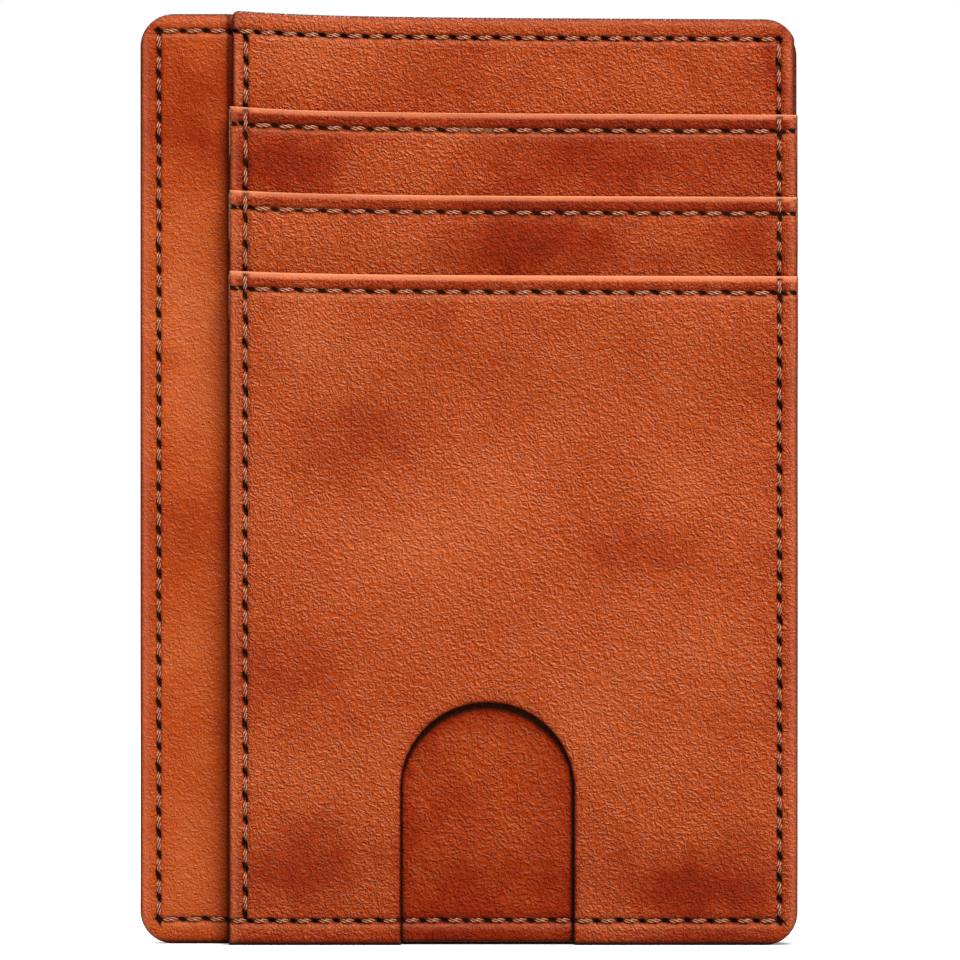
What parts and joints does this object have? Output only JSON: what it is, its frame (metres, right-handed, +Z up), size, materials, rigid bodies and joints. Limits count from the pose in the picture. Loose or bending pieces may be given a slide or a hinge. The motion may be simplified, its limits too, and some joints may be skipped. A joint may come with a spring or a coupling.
{
  "type": "minimalist wallet",
  "caption": "Slim upright leather card wallet with stitched slots and a thumb notch on the front, a side cash pocket, and slots over a window pocket on the back.",
  "frame": {"origin": "middle of the bottom of the wallet's box, with the wallet standing on its bottom edge", "axes": "+Z up the height, +X across the width away from the cash pocket's mouth, -Y out of the front face with the thumb notch"},
  "size_m": [0.08, 0.0076, 0.113],
  "materials": {
    "tan_leather": "burnished, slightly glossy, pebbled grain",
    "split_leather": "matte, rough",
    "lining_fabric": "fine plain weave",
    "stiffener_board": "pressed fibre board, matte",
    "window_film": "clear, glossy, slightly rippled",
    "sewing_thread": "twisted polyester"
  },
  "bodies": {
    "root": {"front_pocket_panel": "tan_leather", "front_middle_strip": "tan_leather", "front_upper_strip": "tan_leather", "front_backing_panel": "tan_leather", "notch_facing": "split_leather", "front_middle_slot_lining": "lining_fabric", "front_upper_slot_lining": "lining_fabric", "front_stiffener": "stiffener_board", "front_cash_lining": "lining_fabric", "seam_filler": "stiffener_board", "cash_facing": "tan_leather", "back_cash_lining": "lining_fabric", "back_stiffener": "stiffener_board", "back_backing_panel": "tan_leather", "back_upper_slot_lining": "lining_fabric", "back_middle_slot_lining": "lining_fabric", "back_upper_strip": "tan_leather", "back_middle_strip": "tan_leather", "id_window_film": "window_film", "id_frame_panel": "tan_leather", "perimeter_thread": "sewing_thread", "front_edge_thread": "sewing_thread", "front_pocket_lip_thread": "sewing_thread", "front_middle_lip_thread": "sewing_thread", "front_upper_lip_thread": "sewing_thread", "front_middle_slot_thread": "sewing_thread", "front_upper_slot_thread": "sewing_thread", "cash_facing_thread": "sewing_thread", "id_frame_lip_thread": "sewing_thread", "back_middle_lip_thread": "sewing_thread", "back_upper_lip_thread": "sewing_thread", "back_middle_slot_thread": "sewing_thread", "back_upper_slot_thread": "sewing_thread", "id_window_thread": "sewing_thread"}
  },
  "joints": []
}
